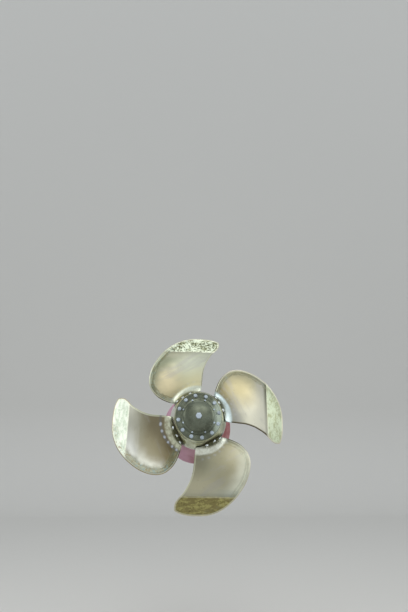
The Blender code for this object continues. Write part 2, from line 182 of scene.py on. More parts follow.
# Mesh fineness
ROUND_STEPS = 144
PALM_STEPS = 120
CHORD_STEPS = 60
SPAN_STEPS = 84
FILLET_STEPS = 14
BALL_STEPS = 44
DOME_STEPS = 24
CROWN_STEPS = 12
FLARE_STEPS = 40
CORNER_STEPS = 6
POCKET_STEPS = 32
WASHER_STEPS = 28
STRAP_STEPS = 8
SOFT_EDGE_STEPS = 2
STEPS_IN_PASS = 4
WELD_SIDES = 8
WELD_DISTANCE = 1e-6
EDGE_SAMPLES = 400
SHARP_EDGE = radians(32.0)
SHARP_ON_BLADE = radians(38.0)

# The body and the material slot of most pieces
HUB = ("propeller", "hub_bronze")
SHAFT = ("propeller", "shaft_steel")
SEAL = ("stern", "seal_bronze")
PAINTED = ("stern", "hull_paint")

# The shaft's own axes: local Z runs forward along it
SHAFT_LINE = Matrix.Translation((0.0, 0.0, SHAFT_Z)) @ Matrix.Rotation(-pi / 2, 4, "X")
AT_ORIGIN = Matrix.Identity(4)


def spindle_frame(number):
    """Axes of a blade: Z out along its spindle, Y forward, at the crossing of spindle and shaft."""
    outward = -Vector(JOINTS[f"blade_{number}_pitch"]["axis"]).normalized()
    forward = Vector((0.0, 1.0, 0.0))
    side = forward.cross(outward)
    turn = Matrix((side, forward, outward)).transposed().to_4x4()
    return Matrix.Translation(CENTRE) @ turn


# Shader building


class Shader:
    """A shorthand for wiring one material's nodes. Its patterns follow the object's own axes, or the
    places stored in an attribute, and shift moves them all."""

    def __init__(self, name, stored_place=None, shift=(0.0, 0.0, 0.0)):
        self.material = bpy.data.materials.new(name)
        self.material.use_nodes = True
        self.tree = self.material.node_tree
        self.surface = self.tree.nodes["Principled BSDF"]
        self.shift = shift
        if stored_place:
            self.place = self.node("ShaderNodeAttribute", attribute_name=stored_place).outputs["Vector"]
        else:
            self.place = self.node("ShaderNodeTexCoord").outputs["Object"]

    def node(self, kind, inputs=(), **settings):
        made = self.tree.nodes.new(kind)
        for key, value in settings.items():
            setattr(made, key, value)
        for key, value in dict(inputs).items():
            self.put(value, made.inputs[key])
        return made

    def put(self, value, socket):
        """Link a socket, or set a plain value."""
        if isinstance(value, bpy.types.NodeSocket):
            self.tree.links.new(value, socket)
        elif socket.type == "RGBA":
            socket.default_value = (*value, 1.0)
        else:
            socket.default_value = value

    def math(self, operation, first, second=0.0):
        return self.node("ShaderNodeMath", {0: first, 1: second}, operation=operation).outputs[0]

    def plus(self, first, second):
        return self.math("ADD", first, second)

    def times(self, first, second):
        return self.math("MULTIPLY", first, second)

    def swing(self, value, amount):
        """A value from 0 to 1, centred on 0 and scaled."""
        return self.times(self.math("SUBTRACT", value, 0.5), amount)

    def ramp(self, value, low, high, to_low=0.0, to_high=1.0):
        """Smooth change from to_low to to_high as value passes from low to high."""
        return self.node("ShaderNodeMapRange", {
            "Value": value, "From Min": low, "From Max": high, "To Min": to_low, "To Max": to_high,
        }, interpolation_type="SMOOTHSTEP").outputs["Result"]

    def band(self, value, middle, width, strength=1.0):
        """A soft stripe, strength high, where value is near middle."""
        rise = self.ramp(value, middle - width, middle)
        return self.times(rise, self.ramp(value, middle, middle + width, strength, 0.0))

    def vector(self, x, y):
        return self.node("ShaderNodeCombineXYZ", {"X": x, "Y": y}).outputs[0]

    def length(self, x, y):
        made = self.node("ShaderNodeVectorMath", {"Vector": self.vector(x, y)}, operation="LENGTH")
        return made.outputs["Value"]

    def along(self, axis):
        return self.node("ShaderNodeSeparateXYZ", {"Vector": self.place}).outputs[axis]

    def noise(self, scale, detail=4.0, roughness=0.55, stretch=(1.0, 1.0, 1.0), distortion=0.0,
              place=None):
        moved = self.node("ShaderNodeMapping", {
            "Vector": place or self.place, "Scale": stretch, "Location": self.shift,
        })
        return self.node("ShaderNodeTexNoise", {
            "Vector": moved.outputs[0], "Scale": scale, "Detail": detail,
            "Roughness": roughness, "Distortion": distortion,
        }).outputs["Fac"]

    def mix(self, factor, first, second):
        inputs = {"Factor": factor, 6: first, 7: second}
        return self.node("ShaderNodeMix", inputs, data_type="RGBA").outputs[2]

    def lay(self, under, tone, value, low, high, strength=1.0):
        """Lay a tone over another, from none at low to its strength at high."""
        return self.mix(self.ramp(value, low, high, 0.0, strength), under, tone)

    def at(self, name):
        """A measure stored at every point of the mesh."""
        return self.node("ShaderNodeAttribute", attribute_name=name).outputs["Fac"]

    def bump(self, height, strength, distance, under=None):
        made = self.node("ShaderNodeBump", {"Height": height, "Strength": strength, "Distance": distance})
        if under is not None:
            self.put(under, made.inputs["Normal"])
        return made.outputs["Normal"]

    def finish(self, **values):
        for key, value in values.items():
            self.put(value, self.surface.inputs[key.replace("_", " ")])
        return self.material


def colour(red, green, blue):
    """Linear colour from 8-bit screen values."""
    return tuple((((v / 255.0) + 0.055) / 1.055) ** 2.4 for v in (red, green, blue))


# Looks of blades 1 to 4 as seen from astern, in 8-bit screen values. The four are one bronze: their sets
# differ as painted light and shade, for the way each blade faces the lamps, over the bronze's own tones.
# The plain face has a colour near the hub and one out by the crease, at its leading and at its trailing
# side, and a painted highlight in its middle. The bent tip has a ground colour, blotches and specks; its
# ground colour is partly painted reflection. The rim, trailing-edge line and fillet tones carry painted
# light and shade too.
BLADE_COLOURS_AND_LIGHT = {
    "inner_leading": ((114, 102, 72), (162, 156, 126), (142, 134, 102), (186, 178, 138)),
    "inner_trailing": ((138, 130, 106), (152, 150, 128), (158, 158, 144), (206, 200, 162)),
    "middle": ((186, 177, 147), (160, 154, 126), (198, 187, 148), (244, 230, 191)),
    "outer_leading": ((248, 249, 238), (206, 206, 188), (180, 175, 146), (140, 144, 122)),
    "outer_trailing": ((170, 168, 148), (192, 188, 162), (220, 217, 198), (196, 200, 180)),
    "film": ((244, 244, 237), (168, 172, 158), (182, 182, 174), (170, 168, 150)),
    "tip": ((236, 241, 228), (146, 137, 92), (210, 220, 194), (220, 228, 206)),
    "blotch": ((208, 219, 200), (184, 178, 118), (184, 190, 156), (160, 164, 130)),
    "speck": ((156, 166, 142), (104, 96, 56), (158, 162, 130), (72, 76, 46)),
    "inner_edge": ((122, 114, 78), (124, 118, 84), (92, 84, 54), (82, 74, 44)),
    "outer_edge": ((168, 148, 106), (228, 222, 200), (232, 222, 206), (214, 216, 190)),
    "border": ((158, 158, 128), (190, 196, 174), (162, 163, 140), (186, 192, 168)),
    "tail_line": ((206, 212, 186), (200, 204, 176), (72, 62, 38), (160, 160, 134)),
    "fillet": ((242, 248, 224), (250, 255, 244), (214, 230, 232), (208, 214, 198)),
}

# How strongly each mark shows on blades 1 to 4. A blade's inner colours turn to the outer ones between two
# shares of the tip radius, and its painted highlight in the middle lies at a share of the chord and one of
# the tip radius. The film's and the border's widths are in metres, and specks start at a level of their
# noise.
BLADE_MARKS = {
    "turn": ((0.55, 0.76), (0.40, 0.70), (0.42, 0.60), (0.40, 0.70)),
    "highlight_at": ((0.58, 0.60), (0.58, 0.60), (0.62, 0.60), (0.76, 0.58)),
    "film": (0.75, 0.55, 0.75, 0.60),
    "film_width": (0.24, 0.13, 0.26, 0.13),
    "crease_shade": (0.15, 0.30, 0.85, 0.30),
    "specks": (0.25, 0.60, 0.45, 0.90),
    "speck_level": (0.54, 0.54, 0.51, 0.48),
    "border": (0.80, 0.36, 0.56, 0.75),
    "border_width": (0.155, 0.092, 0.092, 0.092),
    "dabs": (0.60, 0.15, 0.20, 0.35),
    "tail": (0.60, 0.40, 0.95, 0.50),
    "dots": (0.90, 0.15, 0.10, 0.10),
    "fillet": (0.70, 0.90, 0.92, 0.90),
    "mottle": (0.55, 0.25, 0.15, 0.25),
}
SMEAR_GREY = colour(172, 170, 168)
BORDER_OLIVE = colour(116, 118, 92)
BORDER_SHADE = colour(92, 92, 68)
# Painted highlight: pale lines inside the rim and beyond the crease
EDGE_HIGHLIGHT = colour(232, 232, 212)
DAB_TEAL = colour(140, 166, 168)
DAB_BROWN = colour(134, 110, 72)
# Painted shade along the inside of the crease
CREASE_SHADE_TONE = colour(96, 98, 80)
FILLET_SHADE = colour(104, 106, 82)
FILLET_MOTTLE = colour(132, 124, 92)
PALM_GREEN = colour(112, 114, 88)
# Painted shade in the bolt pockets
POCKET_SHADE = colour(34, 30, 22)
# Painted shade in the gaps beside palms and ports
PAINTED_SHADE_DARK = colour(46, 42, 26)
# Painted highlight on the cover's rim
COVER_RIM_HIGHLIGHT = colour(214, 218, 190)
# Painted light on one side of cover and ball
COVER_LIT_SIDE = colour(184, 196, 182)
BALL_LIT_SIDE = colour(255, 255, 250)
STAIN_BROWN = colour(122, 102, 66)
# Painted reflection of the palm bolts: dots and their smear
BOLT_REFLECTION_BLUE = colour(206, 214, 228)
BOLT_REFLECTION_GREY = colour(124, 124, 122)
PAINT_LILAC = colour(196, 160, 188)
PAINT_CHALK = colour(188, 140, 140)
PAINT_SCRATCH = colour(200, 162, 158)
RUST_BROWN = colour(92, 52, 34)
RUBBER_DARK = (0.012, 0.012, 0.012)
RUBBER_PALE = (0.035, 0.034, 0.030)
STUDIO_PAPER = (0.66, 0.65, 0.63)

# Where marks lie, in metres from an edge, the crease, the palm or a port's rim: the middle and half width
# of a stripe, or where a mark starts and where it has its full strength
BORDER_FULL = 0.056
BORDER_LINE = (0.080, 0.014)
DABS_FROM_NOSE = (0.130, 0.050)
RIM_HIGHLIGHT = (0.016, 0.010)
RIM_LIGHT_AND_WEAR = (0.013, 0.006)
TAIL_LINE = (0.030, 0.012)
CREASE_SHADE_STRIPE = (-0.012, 0.042)
CREASE_LIGHT = (0.012, 0.012)
FILLET_TOP = (0.105, 0.070)
FILLET_FOOT = (0.030, 0.006)
PALM_RIM_SHADE = (0.024, 0.006)
PALM_START = (0.004, 0.0015)
PORT_RIM_SHADE = (0.050, 0.010)

# Painted reflection of the palm bolts, as a chain of dots above the root fillet: how many along the chord
# and their shift as a share of one, then in metres their spacing and radius, the half width of their grey
# smear, and their height at both edges
DOTS_ALONG_CHORD = 7.0
DOT_SHIFT = 0.15
DOT_SPACING = 0.080
DOT_RADIUS = 0.027
DOT_SMEAR = 0.034
DOT_LINE_TRAILING = 0.150
DOT_LINE_LEADING = 0.104


def of_blade(number, table):
    """One blade's values from a table with a column for each blade."""
    return {name: values[number - 1] for name, values in table.items()}


def blade_face(s, tones, marks, wobble, beyond, follow):
    """Plain face: four corners and a painted highlight in the middle, blended along and across it, under
    grey smears and a pale film that ends at the crease. The corners' tones are partly painted light and
    shade."""
    out = s.plus(s.at("reach"), wobble)
    across = s.plus(s.at("chord"), wobble)
    inner = s.lay(tones["inner_trailing"], tones["inner_leading"], across, 0.25, 0.80)
    outer = s.lay(tones["outer_trailing"], tones["outer_leading"], across, 0.25, 0.80)
    face = s.lay(inner, outer, out, *marks["turn"])
    # Painted highlight: a soft bright spot in the middle of the face.
    highlight_across, highlight_out = marks["highlight_at"]
    middle = s.times(s.band(across, highlight_across, 0.44), s.band(out, highlight_out, 0.23))
    face = s.mix(s.times(middle, 0.85), face, tones["middle"])
    smears = s.noise(1.0, 4.0, 0.60, (1.6, 1.6, 7.0), 0.5)
    face = s.lay(face, SMEAR_GREY, smears, 0.50, 0.68, 0.40)
    face = s.lay(face, STAIN_BROWN, s.noise(7.0, 8.0, 0.7, distortion=0.6), 0.58, 0.82, 0.30)
    ragged = s.plus(beyond, s.swing(s.noise(1.0, 4.0, 0.6, (24.0, 3.5, 1.0), place=follow), 0.16))
    film = s.ramp(ragged, -marks["film_width"], -0.030, 0.0, marks["film"])
    film = s.times(film, s.ramp(across, 0.15, 0.62, 0.35, 1.0))
    return s.mix(film, face, tones["film"])


def blade_tip(s, tones, marks, follow):
    """Bent tip: a chalky film with strokes along the crease, blotches and dark specks. Its tones change
    from blade to blade partly as painted reflection: near white on blade 1, olive on blade 2.
    """
    strokes = s.noise(1.0, 5.0, 0.62, (34.0, 8.0, 1.0), place=follow)
    blotches = s.noise(8.0, 6.0, 0.66, distortion=0.5)
    both = s.times(s.plus(strokes, blotches), 0.5)
    tip = s.lay(tones["tip"], tones["blotch"], both, 0.46, 0.58)
    specks = s.plus(s.noise(34.0, 5.0, 0.65), s.ramp(blotches, 0.35, 0.65, -0.05, 0.05))
    level = marks["speck_level"]
    return s.lay(tip, tones["speck"], specks, level, level + 0.08, marks["specks"])


def blade_edges(s, face, tones, marks, smudge, beyond):
    """A smudged band inside the leading edge, a painted highlight line inside the rim, a rim of worn
    bronze under painted light and shade, and a line of painted light and shade along the trailing edge.
    """
    nose, rim, reach = s.at("nose_distance"), s.at("rim_distance"), s.at("reach")
    streaks = s.noise(1.0, 4.0, 0.62, (52.0, 9.0, 1.0), place=s.vector(nose, reach))
    band_colour = s.lay(tones["border"], BORDER_OLIVE, streaks, 0.38, 0.58)
    ragged = s.plus(nose, s.times(smudge, 0.12))
    strength = s.ramp(beyond, -0.02, 0.02, marks["border"], 0.2 * marks["border"])
    border = s.times(s.ramp(ragged, marks["border_width"], BORDER_FULL), strength)
    face = s.mix(border, face, band_colour)
    broken = s.times(s.ramp(smudge, -0.08, 0.06, 0.0, 0.7), strength)
    face = s.mix(s.times(s.band(ragged, *BORDER_LINE), broken), face, BORDER_SHADE)
    dabs, near = s.noise(30.0, 3.0, 0.6), s.ramp(nose, *DABS_FROM_NOSE)
    for low, high, tone in ((0.56, 0.64, DAB_TEAL), (0.44, 0.36, DAB_BROWN)):
        face = s.mix(s.times(s.ramp(dabs, low, high, 0.0, marks["dabs"]), near), face, tone)
    # Painted highlight: a pale line just inside the rim.
    face = s.mix(s.band(rim, *RIM_HIGHLIGHT, 0.7), face, EDGE_HIGHLIGHT)
    # The rim: worn bronze, darker near the hub as painted shade and paler further out as painted light on
    # blades 2 to 4.
    edge = s.lay(tones["inner_edge"], tones["outer_edge"], reach, 0.48, 0.66)
    face = s.lay(face, edge, rim, *RIM_LIGHT_AND_WEAR, 0.85)
    # Trailing-edge line: painted shade on blades 3 and 4, a painted highlight on blades 1 and 2.
    before_tip = s.ramp(beyond, -0.03, 0.01, marks["tail"], 0.2 * marks["tail"])
    tail = s.times(s.ramp(s.at("tail_distance"), *TAIL_LINE), before_tip)
    return s.mix(tail, face, tones["tail_line"])


def blade_foot(s, face, tones, marks, smudge):
    """Painted reflection of the palm bolts as pale dots on a grey smear, the root fillet below with a
    painted highlight and painted shade at its foot, and the palm with painted shade at its rim and in the
    bolt pockets.
    """
    chord, height = s.at("chord"), s.at("height_on_palm")
    uneven = s.times(smudge, 0.03)
    near = s.plus(height, uneven)
    # Painted reflection of the palm bolts: pale dots on a grey smear.
    line = s.ramp(chord, 0.0, 1.0, DOT_LINE_TRAILING, DOT_LINE_LEADING)
    above = s.math("SUBTRACT", near, line)
    face = s.mix(s.band(above, 0.0, DOT_SMEAR, 0.75 * marks["dots"]), face, BOLT_REFLECTION_GREY)
    shifted = s.plus(s.plus(chord, s.times(smudge, 0.10)), DOT_SHIFT / DOTS_ALONG_CHORD)
    beside = s.swing(s.math("FRACT", s.times(shifted, DOTS_ALONG_CHORD)), DOT_SPACING)
    dots = s.ramp(s.length(beside, above), DOT_RADIUS, 0.2 * DOT_RADIUS, 0.0, marks["dots"])
    face = s.mix(s.times(dots, s.ramp(chord, 0.08, 0.13)), face, BOLT_REFLECTION_BLUE)
    # Painted highlight on the root fillet, broken by a darker mottle.
    pale = s.lay(tones["fillet"], FILLET_MOTTLE, s.noise(16.0, 6.0, 0.65), 0.44, 0.62, marks["mottle"])
    face = s.lay(face, pale, near, *FILLET_TOP, marks["fillet"])
    face = s.lay(face, FILLET_SHADE, height, *FILLET_FOOT, 0.75)
    # Painted shade at the palm's rim, in the gap beside its port.
    rim = s.plus(s.at("from_palm_rim"), uneven)
    palm = s.lay(PALM_GREEN, PAINTED_SHADE_DARK, rim, *PALM_RIM_SHADE, 0.85)
    face = s.lay(face, palm, height, *PALM_START)
    # Painted shade in the bolt pockets.
    return s.mix(s.at("in_pocket"), face, POCKET_SHADE)


def blade_bronze(number):
    """Hand-ground bronze under a thin film, with its marks from edges, crease and root, and painted light,
    shade and reflections on each blade.
    """
    s = Shader(f"blade_{number}_bronze", "spindle_place", (number * 3.1, number * 1.7, number * 5.3))
    tones = {name: colour(*value) for name, value in of_blade(number, BLADE_COLOURS_AND_LIGHT).items()}
    marks = of_blade(number, BLADE_MARKS)
    beyond = s.at("beyond_crease")
    follow = s.vector(beyond, s.at("along_crease"))
    cloud = s.noise(2.6, 3.0)
    fine = s.noise(26.0, 6.0, 0.6)
    smudge = s.math("SUBTRACT", s.noise(9.0, 5.0, 0.6), 0.5)
    face = blade_face(s, tones, marks, s.swing(cloud, 0.22), beyond, follow)
    # Painted shade: a dark stripe just inside the crease where the tip folds.
    crease_shade = s.band(beyond, *CREASE_SHADE_STRIPE, marks["crease_shade"])
    crease_shade = s.times(crease_shade, s.ramp(s.at("chord"), 0.10, 0.80, 0.45, 1.0))
    face = s.mix(crease_shade, face, CREASE_SHADE_TONE)
    face = s.lay(face, blade_tip(s, tones, marks, follow), beyond, 0.000, 0.004)
    # Painted highlight: a pale line just beyond the crease.
    face = s.mix(s.band(beyond, *CREASE_LIGHT, 0.45), face, EDGE_HIGHLIGHT)
    face = blade_edges(s, face, tones, marks, smudge, beyond)
    face = blade_foot(s, face, tones, marks, smudge)
    face = s.lay(face, STAIN_BROWN, fine, 0.62, 0.75, 0.22)
    rough = s.plus(s.ramp(cloud, 0.3, 0.7, 0.24, 0.36), s.times(fine, 0.10))
    rough = s.plus(rough, s.ramp(beyond, -0.002, 0.004, 0.0, 0.16))
    normal = s.bump(s.noise(5.0, 1.0, 0.4), 0.35, 0.01)
    normal = s.bump(s.noise(60.0, 3.0, 0.5, (1.0, 1.0, 9.0)), 0.10, 0.0006, normal)
    normal = s.bump(fine, 0.12, 0.0006, normal)
    return s.finish(Base_Color=face, Metallic=1.0, Roughness=rough, Normal=normal)


def turned_metal(name, light, dark, rough_low, rough_high, ring_scale=220.0, shade_near=None, highlight_beyond=None,
                 lit_side=None):
    """Metal turned on a lathe: fine rings around the local axis, stains and a film. shade_near names an
    attribute with the distance from a gap, near which the metal is darkened as painted shade. Further than
    highlight_beyond from the axis, a pale ring is painted as a highlight. lit_side gives two places along
    X between which it turns paler, and the tone: painted light on one side."""
    s = Shader(name)
    cloud, stain = s.noise(5.0, 5.0, 0.6), s.noise(18.0, 6.0, 0.65, distortion=0.4)
    blend = s.plus(s.ramp(cloud, 0.35, 0.65, 0.0, 0.7), s.ramp(stain, 0.55, 0.75, 0.0, 0.3))
    base = s.mix(blend, colour(*light), colour(*dark))
    # Painted light: paler towards one side.
    if lit_side:
        start, end, tone = lit_side
        base = s.lay(base, tone, s.along("X"), start, end, 0.75)
    # Painted shade: darker around the ports, in the gaps beside the palms.
    if shade_near:
        ragged = s.plus(s.at(shade_near), s.swing(stain, 0.04))
        base = s.lay(base, PAINTED_SHADE_DARK, ragged, *PORT_RIM_SHADE, 0.90)
    # Painted highlight: a pale ring out at the rim.
    if highlight_beyond:
        from_axis = s.length(s.along("X"), s.along("Y"))
        base = s.lay(base, COVER_RIM_HIGHLIGHT, from_axis, highlight_beyond, highlight_beyond + 0.006, 0.85)
    rings = s.node("ShaderNodeTexWave", {
        "Vector": s.place, "Scale": ring_scale, "Distortion": 1.2, "Detail": 3.0,
    }, wave_type="BANDS", bands_direction="Z").outputs["Fac"]
    normal = s.bump(rings, 0.10, 0.0004)
    normal = s.bump(s.noise(150.0, 3.0, 0.6), 0.12, 0.0005, normal)
    rough = s.ramp(stain, 0.3, 0.7, rough_low, rough_high)
    return s.finish(Base_Color=base, Metallic=1.0, Roughness=rough, Normal=normal)


def hull_paint(name, light, dark):
    """Worn red underwater paint: chalky fading, runs, scratches and rust that bleeds through. It turns
    to lilac towards -X."""
    s = Shader(name)
    cloud = s.noise(3.2, 5.0, 0.6)
    runs = s.noise(11.0, 4.0, 0.6, (1.0, 1.0, 0.22))
    blend = s.plus(s.times(cloud, 0.7), s.times(runs, 0.3))
    base = s.lay(colour(*light), colour(*dark), blend, 0.38, 0.62)
    base = s.lay(base, PAINT_LILAC, s.plus(s.along("X"), s.swing(cloud, 0.5)), 0.30, -0.40, 0.55)
    chalk = s.ramp(s.noise(22.0, 8.0, 0.7, distortion=0.5), 0.55, 0.75, 0.0, 0.45)
    base = s.mix(chalk, base, PAINT_CHALK)
    base = s.lay(base, PAINT_SCRATCH, s.noise(16.0, 2.0, 0.5, (0.5, 0.12, 7.0)), 0.68, 0.74, 0.6)
    rust = s.ramp(s.noise(38.0, 7.0, 0.72), 0.66, 0.70)
    base = s.mix(rust, base, RUST_BROWN)
    normal = s.bump(s.noise(240.0, 2.0, 0.5), 0.18, 0.0012)
    normal = s.bump(rust, 0.5, -0.0008, normal)
    normal = s.bump(cloud, 0.2, 0.004, normal)
    rough = s.ramp(chalk, 0.0, 0.4, 0.48, 0.72)
    return s.finish(Base_Color=base, Metallic=0.0, Roughness=rough, Normal=normal)


def rubber():
    s = Shader("seal_rubber")
    grain = s.noise(300.0, 2.0, 0.5)
    tone = s.lay(RUBBER_DARK, RUBBER_PALE, grain, 0.3, 0.7)
    return s.finish(Base_Color=tone, Roughness=0.55, Normal=s.bump(grain, 0.2, 0.0005))


FINISH = {
    "hub": turned_metal("hub_bronze", (166, 170, 146), (104, 108, 90), 0.20, 0.38),
    # Ball: painted shade around the ports and painted light on its -X side.
    "ball": turned_metal("ball_bronze", (218, 222, 196), (144, 148, 122), 0.12, 0.28, shade_near="from_ports",
                         lit_side=(-0.24, -0.37, BALL_LIT_SIDE)),
    # Cover and dome: a dark tone as painted shade, a pale rim as painted highlight, and painted light on
    # the +X side.
    "cover": turned_metal("shaded_cover_bronze", (112, 118, 104), (72, 76, 64), 0.24, 0.42, highlight_beyond=0.322,
                          lit_side=(0.17, 0.28, COVER_LIT_SIDE)),
    "bolt": turned_metal("bolt_steel", (244, 250, 253), (196, 203, 207), 0.16, 0.30, 400.0),
    "dull_bolt": turned_metal("cover_bolt_steel", (184, 196, 208), (134, 142, 148), 0.20, 0.34, 400.0),
    "steel": turned_metal("shaft_steel", (176, 176, 178), (120, 118, 114), 0.20, 0.34, 300.0),
    "seal": turned_metal("seal_bronze", (168, 146, 96), (110, 96, 66), 0.26, 0.42),
    "bearing": turned_metal("bearing_metal", (180, 176, 166), (130, 126, 118), 0.30, 0.46),
    "iron": turned_metal("tube_iron", (96, 92, 88), (58, 50, 44), 0.42, 0.66),
    "paint": hull_paint("hull_paint", (178, 122, 126), (148, 84, 84)),
    "guard": hull_paint("guard_paint", (168, 110, 114), (134, 76, 76)),
    "rubber": rubber(),
}


# Mesh building


def add_turned(shape, profile, steps, place=AT_ORIGIN, start=0.0, sweep=tau):
    """Turn a closed outline of (radius, z) points about the local Z of place."""
    whole = sweep == tau
    rows = []
    for step in range(steps if whole else steps + 1):
        angle = start + sweep * step / steps
        across, up = cos(angle), sin(angle)
        rows.append([shape.verts.new(place @ Vector((r * across, r * up, z))) for r, z in profile])
    add_skin(shape, rows, whole, profile)
    if not whole:
        shape.faces.new(rows[0])
        shape.faces.new(rows[-1])


def add_skin(shape, rows, whole, profile=None):
    """Faces between neighbouring rows of points, each row a closed loop."""
    pairs = list(zip(rows, rows[1:]))
    if whole:
        pairs.append((rows[-1], rows[0]))
    count = len(rows[0])
    for here, there in pairs:
        for i in range(count):
            j = (i + 1) % count
            if profile and profile[i][0] == 0.0 and profile[j][0] == 0.0:
                continue
            shape.faces.new((here[i], here[j], there[j], there[i]))


def shaded(mesh, sharp=SHARP_EDGE):
    """Smooth shading with hard edges from this angle on."""
    mesh.shade_smooth()
    mesh.set_sharp_from_angle(angle=sharp)
    return mesh


def mesh_of(shape, name):
    bmesh.ops.remove_doubles(shape, verts=shape.verts, dist=WELD_DISTANCE)
    bmesh.ops.recalc_face_normals(shape, faces=shape.faces)
    mesh = bpy.data.meshes.new(name)
    shape.to_mesh(mesh)
    shape.free()
    return shaded(mesh)


def turned_mesh(name, profile, steps, start=0.0, sweep=tau):
    shape = bmesh.new()
    add_turned(shape, profile, steps, AT_ORIGIN, start, sweep)
    return mesh_of(shape, name)


def linked(name, data):
    made = bpy.data.objects.new(name, data)
    bpy.context.collection.objects.link(made)
    return made


def piece(name, mesh, finish, place=AT_ORIGIN):
    made = linked(name, mesh)
    made.matrix_world = place
    mesh.materials.clear()
    mesh.materials.append(finish)
    return made


def belongs(made, home, node=None):
    """Attach a piece to the body that it moves with, and hide the node that it stands for."""
    body, slot = home
    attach(made, body)
    if node:
        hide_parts(node)


def combined(item, sharp, steps):
    """Join an object's mesh with helpers or cut it by them, step by step, and drop the helpers."""
    for operation, helper in steps:
        made = item.modifiers.new(operation.lower(), "BOOLEAN")
        made.operation = operation
        made.object = helper
    graph = bpy.context.evaluated_depsgraph_get()
    evaluated = item.evaluated_get(graph)
    mesh = bpy.data.meshes.new_from_object(evaluated, preserve_all_data_layers=True, depsgraph=graph)
    item.modifiers.clear()
    item.data = mesh
    for _, helper in steps:
        bpy.data.objects.remove(helper, do_unlink=True)
    return shaded(mesh, sharp)


def soften(item):
    made = item.modifiers.new("soft_edges", "BEVEL")
    made.width = SOFT_EDGE
    made.segments = SOFT_EDGE_STEPS
    made.limit_method = "ANGLE"
    made.angle_limit = SHARP_EDGE
    made.harden_normals = True


def turned_piece(name, profile, finish, home, node, steps=ROUND_STEPS, **arc):
    """A turned piece on the shaft line that stands for one node."""
    made = piece(name, turned_mesh(name, profile, steps, **arc), FINISH[finish], SHAFT_LINE)
    soften(made)
    belongs(made, home, node)


def group_piece(name, shape, finish, home, place=AT_ORIGIN):
    """Many small solids in one object."""
    belongs(piece(name, mesh_of(shape, name), FINISH[finish], place), home)


def node_span(node):
    """Ends of a node along the shaft and its outer radius."""
    low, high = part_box(node)
    return low.y, high.y, (high.x - low.x) / 2


def ring_profile(inner, outer, low, high, chamfer=0.0):
    if not chamfer:
        return [(inner, low), (outer, low), (outer, high), (inner, high)]
    return [
        (inner, low), (outer - chamfer, low), (outer, low + chamfer),
        (outer, high - chamfer), (outer - chamfer, high), (inner, high),
    ]


def quarter_arc(x, y, radius, steps):
    """Points of a quarter turn that leaves level y this radius before x and ends as far above y at x."""
    turns = [pi / 2 * step / steps for step in range(steps + 1)]
    return [(x - radius * (1 - sin(turn)), y + radius * (1 - cos(turn))) for turn in turns]


def turned_ring(name, inner, finish, home, node, chamfer=0.0):
    """A ring that fills a node's span, from inner out to the node's own radius."""
    low, high, outer = node_span(node)
    turned_piece(name, ring_profile(inner, outer, low, high, chamfer), finish, home, node)


# Blades


def station(column, place):
    """Smooth curve through one column of the stations, for an array of places."""
    places, values = BLADE_STATIONS[:, 0], BLADE_STATIONS[:, column]
    last = len(places) - 1
    before = np.maximum(np.arange(last + 1) - 1, 0)
    after = np.minimum(np.arange(last + 1) + 1, last)
    slopes = (values[after] - values[before]) / (places[after] - places[before])
    i = np.clip(np.searchsorted(places, place) - 1, 0, last - 1)
    span = places[i + 1] - places[i]
    t = np.clip((place - places[i]) / span, 0.0, 1.0)
    start = (1 + 2 * t) * (1 - t) ** 2 * values[i] + t * (1 - t) ** 2 * span * slopes[i]
    end = t * t * (3 - 2 * t) * values[i + 1] + t * t * (t - 1) * span * slopes[i + 1]
    return start + end


def span_place(radius):
    return (radius - ROOT_RADIUS) / (TIP_RADIUS - ROOT_RADIUS)


def section_pitch(radius):
    return atan(PITCH_RATIO * TIP_RADIUS / (pi * radius)) + PITCH_SETTING


def round_over(from_edge, size):
    """How far a surface drops at this distance from its edge, rounded over size."""
    inside = np.clip(from_edge / size, 0.0, 1.0)
    return size * (1 - np.sqrt(1 - (1 - inside) ** 2))


def section_loop(radius, spread):
    """Angle, depth and distance from the shaft of the points of one section, once around it: the face
    from the trailing to the leading edge, then the back. spread is 1 at the foot of the root fillet."""
    half = (1 - np.cos(pi * np.arange(CHORD_STEPS + 1) / CHORD_STEPS)) / 2
    chord = np.concatenate([half, half[::-1]])
    forward = np.arange(len(chord)) > CHORD_STEPS
    place = np.array([span_place(radius)])
    leading, trailing = radians(station(1, place)[0]), radians(station(2, place)[0])
    angle = trailing + (leading - trailing) * chord
    pitch = section_pitch(radius)
    width = radius * (leading - trailing) / cos(pitch)
    arch = 4 * chord * (1 - chord)
    nose = np.maximum(0.0, 1 - width * (1 - chord) / NOSE_WIDTH)
    depth = radius * angle * tan(pitch) + FACE_CAMBER * width * arch - FACE_SETBACK
    depth += NOSE_SETBACK * nose**2
    fullness = ROOT_THICKNESS * station(3, place)[0] - EDGE_THICKNESS
    thick = EDGE_THICKNESS + fullness * arch**SECTION_FULLNESS
    reach = ROOT_FILLET * (FILLET_AT_EDGES + (1 - FILLET_AT_EDGES) * arch**FILLET_FULLNESS)
    corner = EDGE_THICKNESS / 2 + spread * ROOT_FILLET * FILLET_AT_EDGES * CORNER_SHARE
    at_ends = round_over(np.minimum(chord, 1 - chord) * width, corner)
    at_tip = round_over(np.full(len(chord), TIP_RADIUS - radius), EDGE_THICKNESS / 2)
    outward = spread * reach - np.maximum(at_ends, at_tip)
    depth += np.where(forward, thick / cos(pitch) + outward, -outward)
    distance = np.full(len(chord), radius)
    if spread:
        distance = np.sqrt(radius**2 - depth**2)
    return angle, depth, distance


def loop_points(radius, spread):
    angle, depth, distance = section_loop(radius, spread)
    return np.stack([-distance * np.sin(angle), depth, distance * np.cos(angle)], 1)


